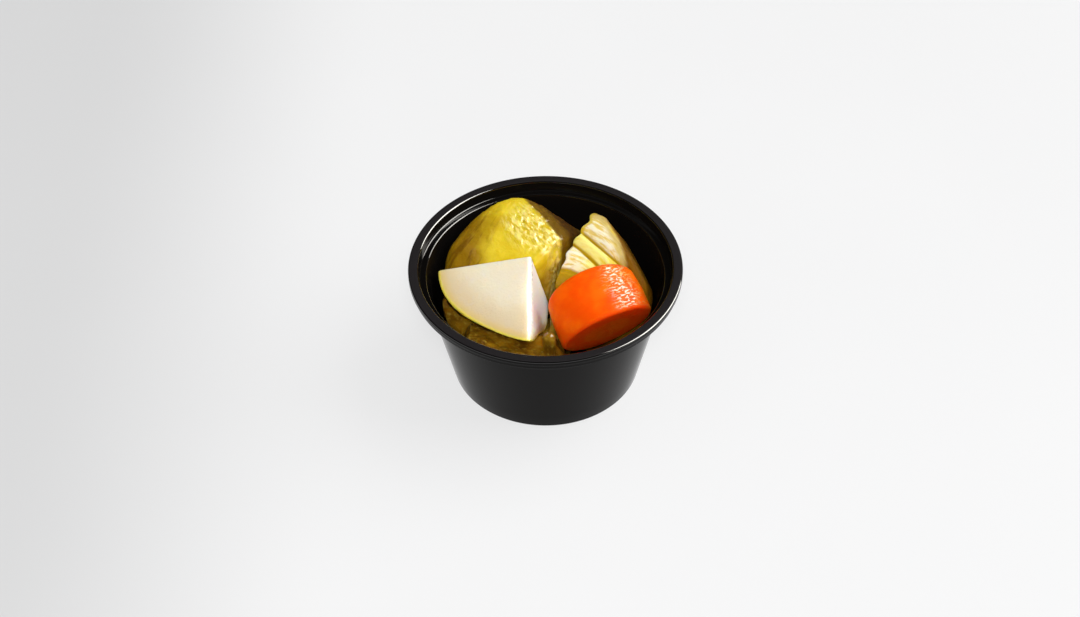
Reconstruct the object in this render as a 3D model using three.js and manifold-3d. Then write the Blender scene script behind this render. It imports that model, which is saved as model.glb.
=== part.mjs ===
// A small black plastic cup of mixed pickles: a white radish wedge, a carrot chunk, a wrinkled bundle
// of cabbage, a layered cabbage wedge and the cabbage pieces that lie under them.
// Millimetres, +Z up. The origin is the middle of the cup's foot, and the front of the cup faces -Y.
import * as THREE from 'three';
import { mergeVertices } from 'three/addons/utils/BufferGeometryUtils.js';
import Module from 'manifold-3d';

const wasm = await Module();
wasm.setup();

// Cup
const CUP_HEIGHT = 36.2;
const RIM_RADIUS = 37.2;
const RIM_BAND = 2.75; // width of the rim's flat top, with its corners
const RIM_CORNER = 0.4;
const RIM_PLATE = 1.1; // thickness of the rim's flat top
const BEAD_DEPTH = 1.5; // the upper, wider part of the rim's skirt
const BEAD_STEP = 0.45;
const BEAD_SLANT = 0.2; // height of the slant under the bead
const SKIRT_DEPTH = 2.9;
const SKIRT_WALL = 0.9;
const SKIRT_CORNER = 0.25;
const COLLAR_WALL = 0.75; // the collar is the wall between the ledge and the rim's top
const COLLAR_LEAN = 0.3; // how far the collar's foot stands in from its top
const LEDGE_DEPTH = 3.0;
const LEDGE_RADIUS = 32.35; // inner radius just under the ledge
const LEDGE_PLATE = 0.8;
const LEDGE_ROUND = 0.3;
const WALL = 1.0;
const FOOT_RADIUS = 26.1;
const FOOT_CORNER = 0.8;
const FOOT_RING = 2.2; // width of the ring that the cup stands on
const FOOT_RECESS = 0.7;
const FOOT_SLANT = 0.6; // width of the ring's slanted inner side
const FLOOR = 1.8; // height of the inner floor
const FLOOR_ROUND = 1.5;
const CUP_SIDES = 64;

// Clearances
const WALL_GAP = 0.5;
const PIECE_GAP = 0.35;

// Radish: an eighth of a round root, cut by three flat cuts that meet at its middle
const RADISH_RADIUS = 26.6;
const RADISH_CORNER = [-3.9, 3.4, 36.4]; // where the three cuts meet
const RADISH_TILT = [16.5, -15.5, 0]; // degrees about X, Y and Z
const RADISH_FLAT_ACROSS = 0.1; // how much flatter than a ball the skin is, towards the root end
const RADISH_FLAT_BELOW = 0.19;
const RADISH_LEAN = 5; // degrees that the lower edge leans in under the top cut
const RADISH_GROWTH = 2.4; // how much longer a grown wedge is, for each millimetre its cuts move out
const RADISH_STEPS = 14;

// Carrot: a short length of a thick root, lying with its axis down towards the front
const CARROT_RADIUS = 13.3;
const CARROT_LENGTH = 12.8;
const CARROT_TAPER = 0.5; // the back end is this much slimmer
const CARROT_SKEW = [0.06, 0.18]; // the back cut is not square: its left and its top stand further back
const CARROT_BACK_ROUND = 1.8;
const CARROT_FRONT_ROUND = 0.6;
const CARROT_FRONT = [16.8, -9.9, 21.0]; // middle of the front cut
const CARROT_HEADING = -64.6; // degrees, the way the front cut faces, seen from above
const CARROT_SLOPE = 26.9; // degrees that the axis falls towards the front
const CARROT_SIDES = 40;

// Bundle of folded leaves: the highest point of its top, and its wrinkles
const BUNDLE_CROWN = [-8, 27, 36.0];
const WRINKLE_DEPTH = 0.8;
const WRINKLE_PITCH = 4.8;
const WRINKLE_FAN = 16; // the wrinkles fan out from a point this far behind the crown
const WRINKLE_ENDS = [14, 26]; // heights between which the wrinkles fade in

// Layered wedge: headings are in degrees round the cup's axis, radii are from that axis
const WEDGE_APEX = [13.2, 23, 34];
const WEDGE_FACING = [-124.2, 48.6]; // the way the cut face looks: its heading and its rise
const WEDGE_START = 76;
const WEDGE_END = -4;
const WEDGE_SPLAY = 1.0; // degrees that the left end draws back for each millimetre outwards
const WEDGE_INNER = 11.5;
const WEDGE_OUTER = 27; // the farthest that the top edge of the outer leaf gets from the axis
const WEDGE_LEAST = 3; // least height of the wedge over the floor
const WEDGE_FOOT_INSET = 0.6;
const WEDGE_STEPS = 14;

// Leaves of the wedge: for the line between two leaves its least radius, the heading at which it has
// that radius, and how fast it opens out to each side. The first line is the outer leaf's top edge.
const LEAF_LINES = [[25, 38, 0.0022], [21.5, 54, 0.0024], [18.4, 48, 0.002], [14.2, 48, 0]];
const LEAF_THINNEST = 1.3;
const LEAF_SHOULDER = [3.3, 6.0]; // how far the outer leaf's back bows out below its edge, and how far down
const LEAF_GROOVE = 1.2;
const LEAF_SWELL = 0.6; // under 1, so that a leaf is fuller between its grooves than an arch
const LEAF_EDGE = 0.3; // how far the outer leaf's rounded edge lies below the cut face
const LEAF_STEPS = 4;

// Cabbage pieces at the bottom
const LUMP_DEPTH = 0.9;
const LUMP_PITCH = [6.1, 7.3];
const RIB_END = [0.7, -17.0, 27.6]; // top of the rib whose round end stands between radish and carrot
const RIB_RADIUS = 2.5;
const RIB_LENGTH = 8;

const radians = THREE.MathUtils.degToRad;
const vector = (point) => new THREE.Vector3(...point);

// The direction with this heading, counted from +X towards +Y, and this rise above level.
function facing(heading, rise) {
  const level = Math.cos(radians(rise));
  return new THREE.Vector3(
    level * Math.cos(radians(heading)), level * Math.sin(radians(heading)), Math.sin(radians(rise)));
}

// A smooth wave between 0 and 1, its phase wandering so that no two crests are alike.
function waves(along, across, pitch, wander) {
  const turns = along / pitch;
  const sideways = across / pitch;
  const drift = Math.sin(1.7 * sideways + 0.6) + 0.6 * Math.sin(3.1 * sideways + turns);
  return 0.5 - 0.5 * Math.cos(2 * Math.PI * turns + wander * drift);
}

// Vertices shared between faces, so that the surface is closed, and no face without an area.
function closed(geometry) {
  geometry.deleteAttribute('normal');
  geometry.deleteAttribute('uv');
  const merged = mergeVertices(geometry, 1e-4);
  const kept = [];
  for (let i = 0; i < merged.index.count; i += 3) {
    const [a, b, c] = merged.index.array.slice(i, i + 3);
    if (a !== b && b !== c && c !== a) kept.push(a, b, c);
  }
  return merged.setIndex(kept);
}

function mesh(name, geometry, finish) {
  geometry.computeVertexNormals();
  const piece = new THREE.Mesh(geometry, new THREE.MeshStandardMaterial({ metalness: 0, ...finish }));
  piece.name = name;
  return piece;
}

function solid(geometry) {
  return new wasm.Manifold(new wasm.Mesh({
    numProp: 3,
    vertProperties: new Float32Array(geometry.attributes.position.array),
    triVerts: new Uint32Array(geometry.index.array),
  }));
}

function surface(body) {
  const { vertProperties, triVerts } = body.getMesh();
  const geometry = new THREE.BufferGeometry();
  geometry.setAttribute('position', new THREE.BufferAttribute(new Float32Array(vertProperties), 3));
  geometry.setIndex(new THREE.BufferAttribute(new Uint32Array(triVerts), 1));
  return geometry;
}

// Inner radius of the cup's wall at a height.
const WALL_SLOPE = (LEDGE_RADIUS + WALL - FOOT_RADIUS) / (CUP_HEIGHT - LEDGE_DEPTH);
const innerRadius = (height) => FOOT_RADIUS - WALL + WALL_SLOPE * height;

// A quarter-round corner from one heading to another, both in degrees, as profile points.
function corner(radius, height, round, from, to, steps = 3) {
  return Array.from({ length: steps + 1 }, (_, i) => {
    const turn = radians(from + (to - from) * i / steps);
    return [radius + round * Math.cos(turn), height + round * Math.sin(turn)];
  });
}

// A closed solid turned round the upright axis from its outline of radii and heights.
function turned(outline, sides) {
  const points = outline.map(([radius, height]) => new THREE.Vector2(radius, height));
  return closed(new THREE.LatheGeometry(points, sides).rotateX(Math.PI / 2));
}

// The cup: one thin wall turned round the axis, with a recessed foot, a stacking ledge and a folded rim.
function cup() {
  const ledge = CUP_HEIGHT - LEDGE_DEPTH;
  const ledgeUnder = ledge - LEDGE_PLATE;
  const rimInner = RIM_RADIUS - RIM_BAND;
  const rimUnder = CUP_HEIGHT - RIM_PLATE;
  const collarFoot = rimInner - COLLAR_LEAN;
  const collarOuter = rimInner + COLLAR_WALL;
  const skirtOuter = RIM_RADIUS - BEAD_STEP;
  const skirtInner = skirtOuter - SKIRT_WALL;
  const skirtFoot = CUP_HEIGHT - SKIRT_DEPTH;
  const beadFoot = CUP_HEIGHT - BEAD_DEPTH;
  const ringOuter = FOOT_RADIUS - FOOT_CORNER;
  const ringInner = ringOuter - FOOT_RING;
  const outline = [
    [0, FOOT_RECESS],
    [ringInner - FOOT_SLANT, FOOT_RECESS],
    [ringInner, 0],
    ...corner(ringOuter, FOOT_CORNER, FOOT_CORNER, -90, -10),
    [innerRadius(ledgeUnder) + WALL, ledgeUnder],
    [collarOuter, ledgeUnder],
    [collarOuter, rimUnder],
    [skirtInner, rimUnder],
    [skirtInner, skirtFoot],
    ...corner(skirtOuter - SKIRT_CORNER, skirtFoot + SKIRT_CORNER, SKIRT_CORNER, -90, 0, 2),
    [skirtOuter, beadFoot - BEAD_SLANT],
    [RIM_RADIUS, beadFoot],
    ...corner(RIM_RADIUS - RIM_CORNER, CUP_HEIGHT - RIM_CORNER, RIM_CORNER, 0, 90),
    ...corner(rimInner + RIM_CORNER, CUP_HEIGHT - RIM_CORNER, RIM_CORNER, 90, 180),
    [collarFoot, ledge + LEDGE_ROUND],
    [collarFoot - LEDGE_ROUND, ledge],
    ...corner(LEDGE_RADIUS + LEDGE_ROUND, ledge - LEDGE_ROUND, LEDGE_ROUND, 90, 180, 2),
    ...corner(innerRadius(FLOOR) - FLOOR_ROUND, FLOOR + FLOOR_ROUND, FLOOR_ROUND, 0, -90),
    [0, FLOOR],
  ];
  return turned(outline, CUP_SIDES);
}

// How far the radish's skin is from its middle, in the direction with these parts along the left,
// front and lower cut edges. The front edge ends at the root, where the skin runs in like a cone.
function radishSkin(left, front, below) {
  const peak = 1.5 * Math.sqrt(3); // brings the greatest value of part * front ** 2 to 1
  const towardsRoot = (part) => peak * part * front ** 2;
  return RADISH_RADIUS
    * (1 - RADISH_FLAT_ACROSS * towardsRoot(left) - RADISH_FLAT_BELOW * towardsRoot(below));
}

// The radish wedge, grown outwards by a margin where a neighbour is shaped to it.
function radish(margin = 0) {
  const rows = [];
  for (let i = 0; i <= RADISH_STEPS; i += 1) {
    rows.push([]);
    for (let j = 0; j <= RADISH_STEPS - i; j += 1) {
      const [left, front, below] = vector([RADISH_STEPS - i - j, i, j]).normalize().toArray();
      const reach = radishSkin(left, front, below) + RADISH_GROWTH * margin;
      const lean = below * Math.tan(radians(RADISH_LEAN));
      rows[i].push(new THREE.Vector3(-left - lean, -front, -below).multiplyScalar(reach));
    }
  }
  const triangles = [];
  for (let i = 0; i < RADISH_STEPS; i += 1) {
    for (let j = 0; j < RADISH_STEPS - i; j += 1) {
      const [here, next, front, frontNext] = [rows[i][j], rows[i][j + 1], rows[i + 1][j], rows[i + 1][j + 1]];
      triangles.push([here, next, front]);
      if (frontNext) triangles.push([next, frontNext, front]);
    }
  }
  const middle = new THREE.Vector3();
  for (let i = 0; i < RADISH_STEPS; i += 1) {
    const last = RADISH_STEPS - i;
    triangles.push([middle, rows[i][0], rows[i + 1][0]]);
    triangles.push([middle, rows[0][i + 1], rows[0][i]]);
    triangles.push([middle, rows[i + 1][last - 1], rows[i][last]]);
  }
  const geometry = new THREE.BufferGeometry().setFromPoints(triangles.flat());
  geometry.translate(margin, margin, margin);
  const tilt = new THREE.Euler(...RADISH_TILT.map(radians));
  geometry.applyQuaternion(new THREE.Quaternion().setFromEuler(tilt));
  geometry.translate(...RADISH_CORNER);
  return closed(geometry);
}

// The carrot chunk, grown outwards by a margin where a neighbour is shaped to it. It is turned about
// its own upright Z, its front cut on top, and then laid down.
function carrot(margin = 0) {
  const back = CARROT_RADIUS - CARROT_TAPER + margin;
  const front = CARROT_RADIUS + margin;
  const length = CARROT_LENGTH + margin;
  const outline = [
    [0, -length],
    ...corner(back - CARROT_BACK_ROUND, CARROT_BACK_ROUND - length, CARROT_BACK_ROUND, -90, 0),
    [front, -CARROT_LENGTH / 2],
    ...corner(front - CARROT_FRONT_ROUND, margin - CARROT_FRONT_ROUND, CARROT_FRONT_ROUND, 0, 90, 2),
    [0, margin],
  ];
  const geometry = turned(outline, CARROT_SIDES);
  const position = geometry.attributes.position;
  for (let i = 0; i < position.count; i += 1) {
    const [below, right, height] = [position.getX(i), position.getY(i), position.getZ(i)];
    const share = -height / CARROT_LENGTH;
    position.setZ(i, height + share * (CARROT_SKEW[0] * right + CARROT_SKEW[1] * below));
  }
  geometry.rotateY(radians(90 + CARROT_SLOPE)).rotateZ(radians(CARROT_HEADING));
  geometry.translate(...CARROT_FRONT);
  return geometry;
}

// How far it is from a point inside the cup, in a direction, to the wall less a gap.
function toWall(from, direction) {
  const a = direction.x ** 2 + direction.y ** 2 - (WALL_SLOPE * direction.z) ** 2;
  const reach = innerRadius(from.z) - WALL_GAP;
  const b = from.x * direction.x + from.y * direction.y - WALL_SLOPE * direction.z * reach;
  const c = from.x ** 2 + from.y ** 2 - reach ** 2;
  const root = Math.sqrt(Math.max(b * b - a * c, 0));
  return a === 0 ? Infinity : Math.max((-b + root) / a, 0) || Infinity;
}

// A soft chunk: a block with flat sides that all run into each other in round edges, pressed against
// the wall and the floor. Each side is the way it faces and a point on it. Relief is cut inwards.
function chunk({ middle, sides, sharpness, detail, relief }) {
  const centre = vector(middle);
  const floor = { normal: new THREE.Vector3(0, 0, -1), reach: centre.z - FLOOR - WALL_GAP };
  const planes = [floor, ...sides.map(([heading, rise, ...point]) => {
    const normal = facing(heading, rise);
    return { normal, reach: normal.dot(vector(point).sub(centre)) };
  })];
  const geometry = closed(new THREE.IcosahedronGeometry(1, detail));
  const position = geometry.attributes.position;
  const direction = new THREE.Vector3();
  for (let i = 0; i < position.count; i += 1) {
    direction.fromBufferAttribute(position, i).normalize();
    const limits = planes.map(({ normal, reach }) => Math.max(normal.dot(direction) / reach, 0));
    limits.push(1 / toWall(centre, direction));
    const sum = limits.reduce((total, limit) => total + limit ** sharpness, 0);
    const point = direction.clone().multiplyScalar(sum ** (-1 / sharpness)).add(centre);
    point.addScaledVector(direction, -relief(point));
    position.setXYZ(i, ...point.toArray());
  }
  return geometry;
}

// The back cut of the radish, which the bundle leans on: the way it faces from the bundle's side.
const [CORNER_X, CORNER_Y, CORNER_Z] = RADISH_CORNER;
const RADISH_BACK = [-90, -RADISH_TILT[0], CORNER_X, CORNER_Y + PIECE_GAP, CORNER_Z];

// The upright plane that keeps the bundle clear of the wedge's left end.
const DIVIDE = [-38.7, 0, 1.9, 11.7, 0];

// The relief of a crumpled leaf: shallow lumps that run into each other.
function lumps(point) {
  const [pitch, crossPitch] = LUMP_PITCH;
  const rows = waves(point.x + 0.4 * point.z, point.y, pitch, 0.8);
  const crossRows = waves(point.y - 0.3 * point.z, point.x, crossPitch, 0.8);
  return LUMP_DEPTH * (rows + crossRows) / 2;
}

// The big bundle of folded leaves at the back left. Wrinkles run down from its crown.
function bundle() {
  const wrinkles = (point) => {
    const down = BUNDLE_CROWN[1] + WRINKLE_FAN - point.y;
    const across = 1.5 * WRINKLE_FAN * Math.atan2(point.x - BUNDLE_CROWN[0], down);
    const fade = THREE.MathUtils.smoothstep(point.z, ...WRINKLE_ENDS);
    return WRINKLE_DEPTH * fade * waves(across, down, WRINKLE_PITCH, 0.9);
  };
  return chunk({
    middle: [-9, 17, 18],
    sides: [
      [-85, 74, ...BUNDLE_CROWN], // top
      [0, 90, 0, 0, 35.4], // crown
      [152, 45, -26.8, 15.2, 30.9], // slope to the back left
      [39, 40, 1.3, 25, 35.6], // slope to the back right
      [195, 30, -28, 12, 30], // left flank
      [-5, 30, 10.5, 22, 29], // right flank
      RADISH_BACK,
      DIVIDE,
    ],
    sharpness: 10,
    detail: 9,
    relief: wrinkles,
  });
}

// Height of the wedge's cut face over a point of the floor.
function wedgeFace(x, y) {
  const { x: nx, y: ny, z: nz } = facing(...WEDGE_FACING);
  const [apexX, apexY, apexZ] = WEDGE_APEX;
  return apexZ - (nx * (x - apexX) + ny * (y - apexY)) / nz;
}

// Radii of the lines between the wedge's leaves at a heading, from the outer leaf's edge inwards.
function leafEdges(heading) {
  const edges = [];
  let limit = WEDGE_OUTER;
  for (const [least, nearest, opening] of LEAF_LINES) {
    edges.push(Math.min(least + opening * (heading - nearest) ** 2, limit));
    limit = edges[edges.length - 1] - LEAF_THINNEST;
  }
  return [...edges, WEDGE_INNER];
}

// The layered wedge at the back right: leaves that stand in arcs round the cup's axis and were cut
// across, so that each shows as a crest between two grooves.
function wedge() {
  const foot = FLOOR + WALL_GAP;
  const sections = [];
  for (let i = 0; i <= WEDGE_STEPS; i += 1) {
    const along = i / WEDGE_STEPS;
    const edges = leafEdges(WEDGE_START + (WEDGE_END - WEDGE_START) * along);
    const [outerEdge] = edges;
    const place = (radius, height) => {
      const start = WEDGE_START - WEDGE_SPLAY * (radius - WEDGE_INNER);
      const turn = radians(start + (WEDGE_END - start) * along);
      const point = new THREE.Vector3(radius * Math.cos(turn), radius * Math.sin(turn));
      return point.setZ(height ?? Math.max(wedgeFace(point.x, point.y), FLOOR + WEDGE_LEAST));
    };
    const onFace = (radius, lower) => {
      const point = place(radius);
      return point.setZ(point.z - lower);
    };
    const section = [];
    for (let band = edges.length - 1; band > 0; band -= 1) {
      for (let step = 0; step < LEAF_STEPS; step += 1) {
        const across = step / LEAF_STEPS;
        const radius = THREE.MathUtils.lerp(edges[band], edges[band - 1], across);
        const crest = Math.sin(Math.PI * across) ** LEAF_SWELL;
        section.push(onFace(radius, LEAF_GROOVE * (1 - crest)));
      }
    }
    const top = onFace(outerEdge, LEAF_EDGE);
    section.push(top);
    for (const turn of [35, 65, 90]) {
      const height = top.z - LEAF_SHOULDER[1] * (1 - Math.cos(radians(turn)));
      const reach = outerEdge + LEAF_SHOULDER[0] * Math.sin(radians(turn));
      section.push(place(Math.min(reach, innerRadius(height) - WALL_GAP), height));
    }
    section.push(place(innerRadius(foot) - WALL_GAP - WEDGE_FOOT_INSET, foot));
    section.push(place(WEDGE_INNER, foot));
    sections.push(section);
  }
  return loft(sections);
}

// A closed skin over a row of sections that have the same number of corners.
function loft(sections) {
  const count = sections[0].length;
  const triangles = [];
  for (let i = 0; i + 1 < sections.length; i += 1) {
    for (let j = 0; j < count; j += 1) {
      const k = (j + 1) % count;
      const [a, b, c, d] = [sections[i][j], sections[i][k], sections[i + 1][j], sections[i + 1][k]];
      triangles.push([a, c, b], [b, c, d]);
    }
  }
  const cap = (section, flip) => {
    const flat = section.map((point) => new THREE.Vector2(Math.hypot(point.x, point.y), point.z));
    for (const [a, b, c] of THREE.ShapeUtils.triangulateShape(flat, [])) {
      const corners = [section[a], section[b], section[c]];
      triangles.push(flip ? corners.reverse() : corners);
    }
  };
  cap(sections[0], true);
  cap(sections[sections.length - 1], false);
  return closed(new THREE.BufferGeometry().setFromPoints(triangles.flat()));
}

const without = (geometry, ...others) => surface(
  others.reduce((body, other) => body.subtract(solid(other)), solid(geometry)));

// The cabbage that fills the front of the cup, under the radish, with the rounded end of a rib on it.
function frontPiece() {
  const body = chunk({
    middle: [-9, -15, 12],
    sides: [
      [45, 70, -12, -22, 25.5], // top
      [175, 15, -23.5, -14, 20], // left
      [0, 10, 5, -18, 20], // right
      [90, 0, 0, -5.5, 0], // back
    ],
    sharpness: 9,
    detail: 6,
    relief: lumps,
  });
  const rib = new THREE.CapsuleGeometry(RIB_RADIUS, RIB_LENGTH, 4, 12).rotateX(Math.PI / 2);
  rib.translate(RIB_END[0], RIB_END[1], RIB_END[2] - RIB_RADIUS - RIB_LENGTH / 2);
  return surface(solid(body).add(solid(closed(rib))));
}

// The cabbage under the radish's left edge.
function leftPiece() {
  return chunk({
    middle: [-18, -1.5, 12],
    sides: [
      [200, 70, -25, -4, 25], // top
      [-90, 0, 0, -5, 0], // front
      [90, 0, 0, 4.5, 0], // back
      [0, 0, -8.5, 0, 0], // right
    ],
    sharpness: 9,
    detail: 6,
    relief: lumps,
  });
}

// The cabbage in the middle, which shows between the radish and the carrot.
function middlePiece() {
  return chunk({
    middle: [1, 0, 8],
    sides: [
      [-110, 78, 2, 5, 14.5], // top
      [0, 0, 8.2, 0, 0], // right
      [90, 0, 0, 7.2, 0], // back
      [180, 0, -8, 0, 0], // left
      [-90, 0, 0, -5, 0], // front
    ],
    sharpness: 8,
    detail: 6,
    relief: lumps,
  });
}

const group = new THREE.Group();
const grownRadish = radish(PIECE_GAP);
const grownCarrot = carrot(PIECE_GAP);
group.add(
  mesh('cup', cup(), { color: 0x1c1a1a, roughness: 0.3 }),
  mesh('radish_wedge', radish(), { color: 0xefe3c6, roughness: 0.4 }),
  mesh('carrot_chunk', carrot(), { color: 0xf2660d, roughness: 0.35 }),
  mesh('cabbage_bundle', bundle(), { color: 0xcfa81f, roughness: 0.3 }),
  mesh('cabbage_wedge', without(wedge(), grownCarrot), { color: 0xe3cf80, roughness: 0.35 }),
  mesh('cabbage_front', without(frontPiece(), grownRadish, grownCarrot), { color: 0x8a620a, roughness: 0.3 }),
  mesh('cabbage_left', without(leftPiece(), grownRadish), { color: 0x6a4804, roughness: 0.3 }),
  mesh(
    'cabbage_middle',
    without(middlePiece(), grownRadish, grownCarrot),
    { color: 0x7a5406, roughness: 0.3 },
  ),
);

export default group;
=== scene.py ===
# %% [markdown]
# # A bowl of pickles
# A small black plastic cup holds a radish wedge, a carrot chunk and several pieces of pickled cabbage.
# The CAD model fixes where each piece lies. This script dresses every piece: it makes the same forms
# again with the fine relief of cut roots and wet leaves, and gives each its own finish.

# %% The fixed frame
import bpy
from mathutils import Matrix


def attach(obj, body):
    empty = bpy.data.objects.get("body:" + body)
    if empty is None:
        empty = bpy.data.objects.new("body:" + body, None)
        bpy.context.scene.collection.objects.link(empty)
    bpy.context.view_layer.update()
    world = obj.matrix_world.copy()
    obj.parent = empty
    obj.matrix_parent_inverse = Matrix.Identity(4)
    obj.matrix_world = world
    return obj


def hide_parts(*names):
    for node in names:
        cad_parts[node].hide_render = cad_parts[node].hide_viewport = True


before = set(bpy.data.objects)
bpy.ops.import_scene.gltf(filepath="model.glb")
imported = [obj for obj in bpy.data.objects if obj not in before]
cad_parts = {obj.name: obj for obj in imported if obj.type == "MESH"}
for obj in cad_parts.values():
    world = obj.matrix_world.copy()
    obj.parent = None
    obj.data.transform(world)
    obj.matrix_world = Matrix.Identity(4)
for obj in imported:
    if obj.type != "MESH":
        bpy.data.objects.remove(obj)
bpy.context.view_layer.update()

# %% Tools and units
from math import atan2, cos, degrees, hypot, pi, radians, sin, sqrt, tan

import bmesh
import bpy
import numpy as np
from mathutils import Euler, Matrix, Vector

MM = 0.001  # the sizes below are in millimetres, and Blender works in metres
scene = bpy.context.scene


def facing(heading, rise):
    """A unit vector that points to a heading, counted from +X towards +Y, and a rise, in degrees."""
    level = cos(radians(rise))
    return np.array([level * cos(radians(heading)), level * sin(radians(heading)), sin(radians(rise))])


# %% [markdown]
# ## Camera
# The photo looks down on the bowl at 44 degrees from its front, from about arm's length. The lens and
# the distance together set how strongly the round rim is foreshortened, so both were fitted to it.

# %% Camera
CAMERA_DISTANCE = 600.0
CAMERA_ELEVATION = 44.0
CAMERA_ROLL = -0.547
CAMERA_SLIDE = Vector((-1.587, 1.259, 0.0))  # to the right and up, as the camera sees them
CAMERA_TARGET = Vector((0.0, 0.0, 18.0))
CAMERA_LENS = 72.38

turn = Euler((radians(90 - CAMERA_ELEVATION), 0, 0)).to_matrix()
turn = turn @ Matrix.Rotation(radians(CAMERA_ROLL), 3, "Z")
camera = bpy.data.objects.new("camera", bpy.data.cameras.new("camera"))
camera.data.lens = CAMERA_LENS
camera.matrix_world = Matrix.Translation(
    (CAMERA_TARGET + turn @ (CAMERA_SLIDE + Vector((0, 0, CAMERA_DISTANCE)))) * MM) @ turn.to_4x4()
scene.collection.objects.link(camera)
scene.camera = camera
print("camera at", [round(value, 3) for value in camera.matrix_world.translation])

# %% [markdown]
# ## Light
# Wet food shows its light as much as its colour. In the photo one large soft light stands on the right
# and puts the broken glints on carrot, radish and leaf. A smaller one close to the camera reaches down
# past the rim to the carrot's cut, and a weak one hangs overhead. Pale surroundings fill the rest, but
# leave no reflections. The light from the right is made of two: one that shades, and one that glints.

# %% Lights
def soft_light(name, heading, rise, distance, size, power):
    """A square light that looks at the bowl. Its distance and size are in metres, its power in watts."""
    light = bpy.data.lights.new(name, "AREA")
    light.size = size
    light.energy = power
    towards = Vector(facing(heading, rise))
    lamp = bpy.data.objects.new(name, light)
    lamp.location = towards * distance
    lamp.rotation_euler = towards.to_track_quat("Z", "Y").to_euler()
    scene.collection.objects.link(lamp)
    return lamp


key = soft_light("key_light", heading=10, rise=42, distance=1.3, size=1.3, power=16.5)
key.visible_glossy = False
soft_light("top_light", heading=100, rise=78, distance=1.4, size=1.5, power=1)
front = soft_light("front_light", heading=-90, rise=47, distance=1.3, size=0.25, power=12)
front.visible_glossy = False
glint = soft_light("glint_light", heading=12, rise=40, distance=1.2, size=1.15, power=75)
glint.visible_diffuse = False
glint.data.color = (1.0, 0.97, 0.90)

world = bpy.data.worlds.new("studio")
world.use_nodes = True
world.node_tree.nodes["Background"].inputs["Color"].default_value = (0.96, 0.97, 1.0, 1)
world.node_tree.nodes["Background"].inputs["Strength"].default_value = 0.32
scene.world = world
world.cycles_visibility.glossy = False
scene.view_settings.view_transform = "Standard"

# %% [markdown]
# ## Node arithmetic
# Shaders and Geometry Nodes trees both do sums on values. The class below wraps a socket, so that the
# sums can be written as Python, and each adds its Math node.

# %% Wires
def operators(operation):
    """A Math node as a Python operator, and as the reflected one, for a number on the left."""
    return (lambda self, other: self.sum(operation, self, other),
            lambda self, other: self.sum(operation, other, self))


class Wire:
    """A socket of a node tree that can be used in Python sums."""

    def __init__(self, tree, socket=None):
        self.tree = tree
        self.socket = socket

    def node(self, kind, settings=(), inputs=(), output=0):
        """Adds a node of this kind: its settings first, then the values or wires of its sockets."""
        made = self.tree.nodes.new(kind)
        for name, value in dict(settings).items():
            setattr(made, name, value)
        for key, value in dict(inputs).items():
            if isinstance(value, Wire):
                self.tree.links.new(value.socket, made.inputs[key])
            else:
                made.inputs[key].default_value = value
        return Wire(self.tree, made.outputs[output]) if len(made.outputs) else made

    def sum(self, operation, *values):
        return self.node("ShaderNodeMath", {"operation": operation}, dict(enumerate(values)))

    __add__, __radd__ = operators("ADD")
    __sub__, __rsub__ = operators("SUBTRACT")
    __mul__, __rmul__ = operators("MULTIPLY")
    __truediv__, __rtruediv__ = operators("DIVIDE")

    def size(self):
        return self.sum("ABSOLUTE", self)

    def hypot(self, other):
        return self.sum("SQRT", self * self + other * other)

    def scaled(self, factor):
        """A vector times a number."""
        return self.node("ShaderNodeVectorMath", {"operation": "SCALE"}, {0: self, "Scale": factor})

    def step(self, low, high):
        """0 below low and 1 above high, with a smooth rise between them. low may be the larger."""
        return self.node("ShaderNodeMapRange", {"interpolation_type": "SMOOTHSTEP"},
                         {"Value": self, "From Min": low, "From Max": high})

    def mix(self, first, second):
        """The colour first where this value is 0, and second where it is 1."""
        first, second = ((*end, 1) if isinstance(end, tuple) else end for end in (first, second))
        return self.node("ShaderNodeMix", {"data_type": "RGBA"}, {0: self, 6: first, 7: second}, output=2)

    def apart(self):
        """The three parts of a vector."""
        split = self.node("ShaderNodeSeparateXYZ", (), {0: self})
        return [Wire(self.tree, socket) for socket in split.socket.node.outputs]

    def together(self, x, y, z):
        return self.node("ShaderNodeCombineXYZ", (), {0: x, 1: y, 2: z})

    def noise(self, where, scale, detail=2.0, roughness=0.5):
        """Smooth noise between 0 and 1 at a place, with this many lumps to a unit."""
        return self.node("ShaderNodeTexNoise", (), {
            "Vector": where, "Scale": scale, "Detail": detail, "Roughness": roughness})

    def read(self, *titles):
        """The numbers kept under these titles as attributes of the mesh."""
        return [self.node("ShaderNodeAttribute", {"attribute_name": title}, output=2) for title in titles]


FAN_RADIUS = 24.0  # how far out in a fan the distances across it are true


def fanned(x, y, from_x, from_y):
    """How far across and out a place lies in a fan of lines that opens to the front from another."""
    side, down = x - from_x, from_y - y
    return x.sum("ARCTAN2", side, down) * FAN_RADIUS, side.hypot(down)


# %% [markdown]
# ## Finishes
# A finish starts from one function that sets what is the same all over a surface. The colour, the
# roughness and the fine relief are then wired from patterns measured in millimetres on the piece.

# %% Base for all finishes
def new_finish(name, **constants):
    """A material, its node tree as a Wire, its shader and the place on the piece in millimetres."""
    material = bpy.data.materials.new(name)
    material.use_nodes = True
    tree = material.node_tree
    shader = tree.nodes["Principled BSDF"]
    for socket, value in constants.items():
        shader.inputs[socket.replace("_", " ").title().replace("Ior", "IOR")].default_value = value
    wire = Wire(tree)
    place = wire.node("ShaderNodeTexCoord", output=3).scaled(1 / MM)
    return material, wire, shader, place


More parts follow.
